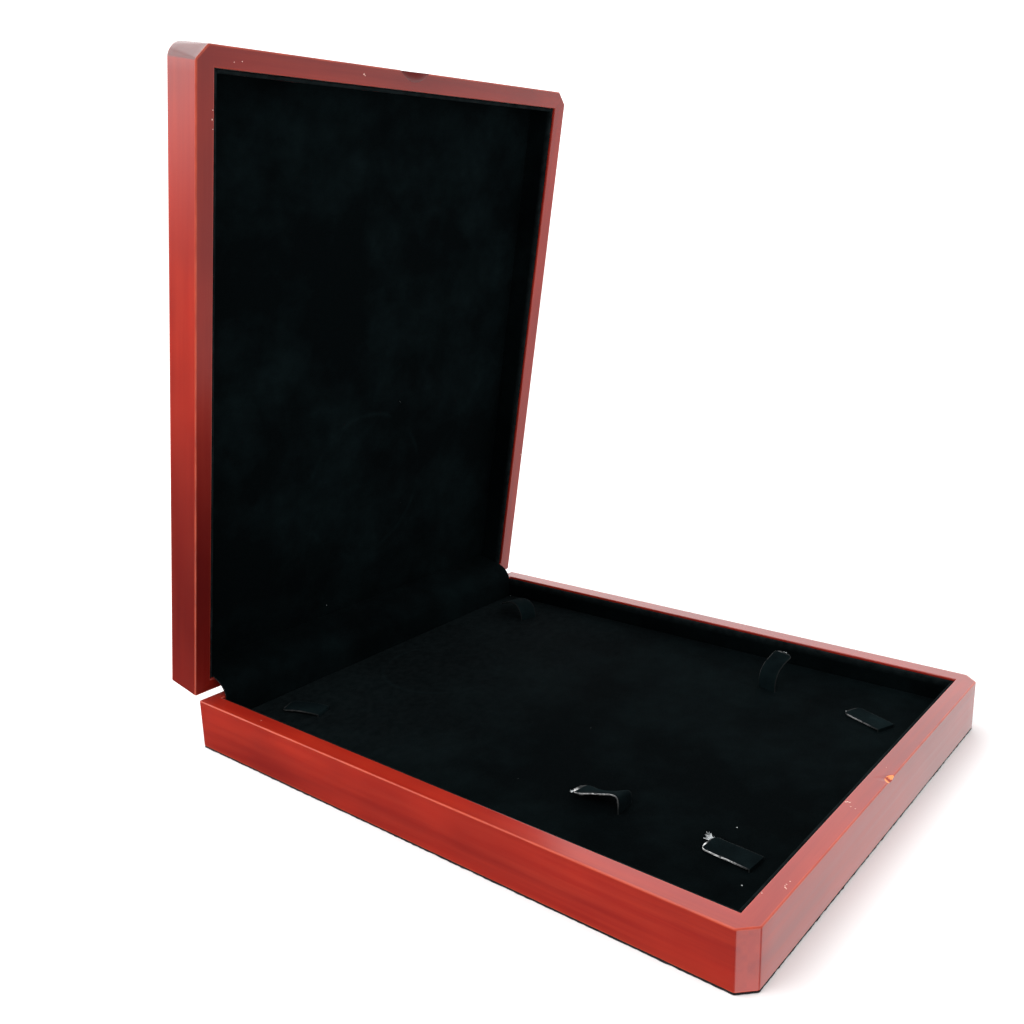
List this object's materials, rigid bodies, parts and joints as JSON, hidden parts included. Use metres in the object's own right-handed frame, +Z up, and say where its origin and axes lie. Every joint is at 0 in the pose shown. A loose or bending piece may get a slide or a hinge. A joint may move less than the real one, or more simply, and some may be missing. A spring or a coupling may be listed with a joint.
{
  "type": "jewellery presentation case",
  "caption": "Hinged lacquered wooden presentation case lined in black velvet, with a padded tray, fabric hold-down tabs and a concealed-hinge lid.",
  "frame": {"origin": "centre of the base's underside, in the plane it stands on", "axes": "+X along the hinge line, +Y from the front edge to the hinge side, +Z up"},
  "size_m": [0.2, 0.2614, 0.2638],
  "materials": {
    "lacquered_wood": "cherry-red stained wood under a satin clear lacquer, edges eased",
    "fibreboard": "bare medium-density fibreboard",
    "grey_card": "grey pulp board, hidden under velvet",
    "black_velvet": "short-pile black velvet with a cool sheen",
    "foam_sheet": "soft closed-cell foam sheet",
    "black_felt": "matted black felt with a fuzzy cut edge",
    "tab_velvet": "velvet ribbon with pale cut edges",
    "hinge_brass": "stamped brass, lightly tarnished",
    "screw_brass": "turned brass, slotted",
    "pin_steel": "drawn steel wire"
  },
  "bodies": {
    "base": {"base_front_rail": "lacquered_wood", "base_back_rail": "lacquered_wood", "base_left_rail": "lacquered_wood", "base_right_rail": "lacquered_wood", "base_bottom_panel": "fibreboard", "base_felt": "black_felt", "base_front_lining_card": "grey_card", "base_left_lining_card": "grey_card", "base_right_lining_card": "grey_card", "base_front_lining_velvet": "black_velvet", "base_left_lining_velvet": "black_velvet", "base_right_lining_velvet": "black_velvet", "base_pad_board": "fibreboard", "base_pad_foam": "foam_sheet", "base_pad_velvet": "black_velvet", "left_hinge_base_leaf": "hinge_brass", "right_hinge_base_leaf": "hinge_brass", "left_hinge_pin": "pin_steel", "right_hinge_pin": "pin_steel", "hinge_base_screws": "screw_brass", "hinge_cover": "black_velvet"},
    "lid": {"lid_front_rail": "lacquered_wood", "lid_back_rail": "lacquered_wood", "lid_left_rail": "lacquered_wood", "lid_right_rail": "lacquered_wood", "lid_top_panel": "lacquered_wood", "lid_front_lining_card": "grey_card", "lid_left_lining_card": "grey_card", "lid_right_lining_card": "grey_card", "lid_front_lining_velvet": "black_velvet", "lid_left_lining_velvet": "black_velvet", "lid_right_lining_velvet": "black_velvet", "lid_floor_card": "grey_card", "lid_floor_velvet": "black_velvet", "left_hinge_lid_leaf": "hinge_brass", "right_hinge_lid_leaf": "hinge_brass", "hinge_lid_screws": "screw_brass"},
    "tab_front_left": {"tab_front_left": "tab_velvet"},
    "tab_front_right": {"tab_front_right": "tab_velvet"},
    "tab_middle_left": {"tab_middle_left": "tab_velvet"},
    "tab_middle_right": {"tab_middle_right": "tab_velvet"},
    "tab_back_left": {"tab_back_left": "tab_velvet"},
    "tab_back_right": {"tab_back_right": "tab_velvet"}
  },
  "joints": [
    {"name": "lid_hinge", "type": "hinge", "parent": "base", "child": "lid", "pos_m": [0, 0.12325, 0.01995], "axis": [1, 0, 0], "range_deg": [-10.4, 79.6], "deforming": ["hinge_cover"]},
    {"name": "tab_front_left_fold", "type": "hinge", "parent": "base", "child": "tab_front_left", "pos_m": [-0.058, -0.102, 0.0122], "axis": [0.9976, -0.0698, 0], "range_deg": [0, 110], "stiffness_Nm_per_rad": 0.0001},
    {"name": "tab_front_right_fold", "type": "hinge", "parent": "base", "child": "tab_front_right", "pos_m": [0.0525, -0.1012, 0.0122], "axis": [0.9272, -0.3746, 0], "range_deg": [0, 110], "stiffness_Nm_per_rad": 0.0001},
    {"name": "tab_middle_left_fold", "type": "hinge", "parent": "base", "child": "tab_middle_left", "pos_m": [-0.054, -0.052, 0.0122], "axis": [0.9994, 0.0349, 0], "range_deg": [0, 80], "stiffness_Nm_per_rad": 0.0001},
    {"name": "tab_middle_right_fold", "type": "hinge", "parent": "base", "child": "tab_middle_right", "pos_m": [0.06, -0.0485, 0.0122], "axis": [-0.2756, -0.9613, 0], "range_deg": [-25, 70], "stiffness_Nm_per_rad": 0.0001},
    {"name": "tab_back_left_fold", "type": "hinge", "parent": "base", "child": "tab_back_left", "pos_m": [-0.0652, 0.0872, 0.0122], "axis": [0.9397, 0.342, 0], "range_deg": [0, 110], "stiffness_Nm_per_rad": 0.0001},
    {"name": "tab_back_right_fold", "type": "hinge", "parent": "base", "child": "tab_back_right", "pos_m": [0.068, 0.085, 0.0122], "axis": [0.9613, -0.2756, 0], "range_deg": [0, 85], "stiffness_Nm_per_rad": 0.0001}
  ]
}
